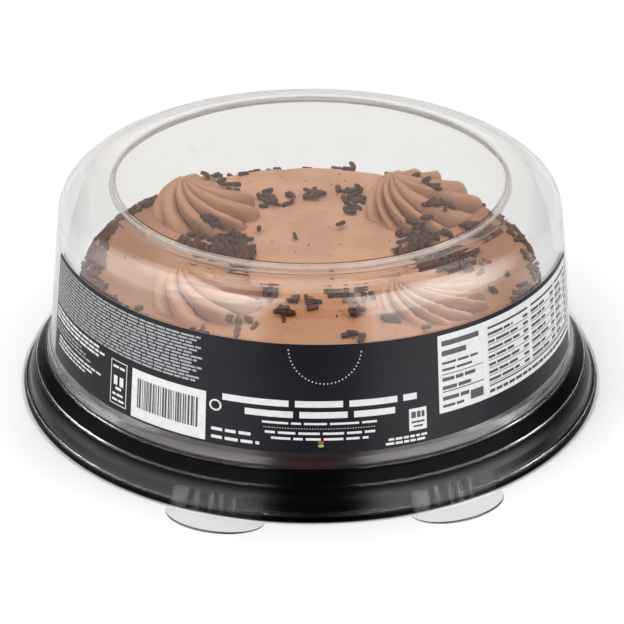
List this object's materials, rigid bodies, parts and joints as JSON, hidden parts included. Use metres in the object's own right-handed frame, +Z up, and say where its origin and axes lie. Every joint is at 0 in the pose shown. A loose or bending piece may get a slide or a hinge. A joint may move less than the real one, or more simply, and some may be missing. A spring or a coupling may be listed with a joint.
{
  "type": "layer cake in clear domed pack",
  "caption": "Round frosted layer cake with piped rosettes and chocolate sprinkles, shut in a black tray with a clear domed lid and a dark printed label round its front.",
  "frame": {"origin": "centre of the tray's flat underside, on the axis of the turned tray, lid and cake", "axes": "+Z up through the cake; -Y is the front, where the two finger tabs and the printed label are; +X to the right"},
  "size_m": [0.2484, 0.2554, 0.0932],
  "materials": {
    "tray_black": "glossy black thermoformed plastic",
    "lid_clear": "clear glossy thermoformed plastic",
    "band_print": "dark printed paper with pale panels, semi-gloss",
    "frosting": "smooth spread chocolate buttercream",
    "piped_frosting": "piped chocolate buttercream",
    "sprinkles": "dark chocolate sprinkles, low sheen"
  },
  "bodies": {
    "root": {"base_tray": "tray_black", "tray_rim": "tray_black", "lid_dome": "lid_clear", "label_band": "band_print", "cake": "frosting", "rosette_1": "piped_frosting", "rosette_2": "piped_frosting", "rosette_3": "piped_frosting", "rosette_4": "piped_frosting"}
  },
  "joints": []
}
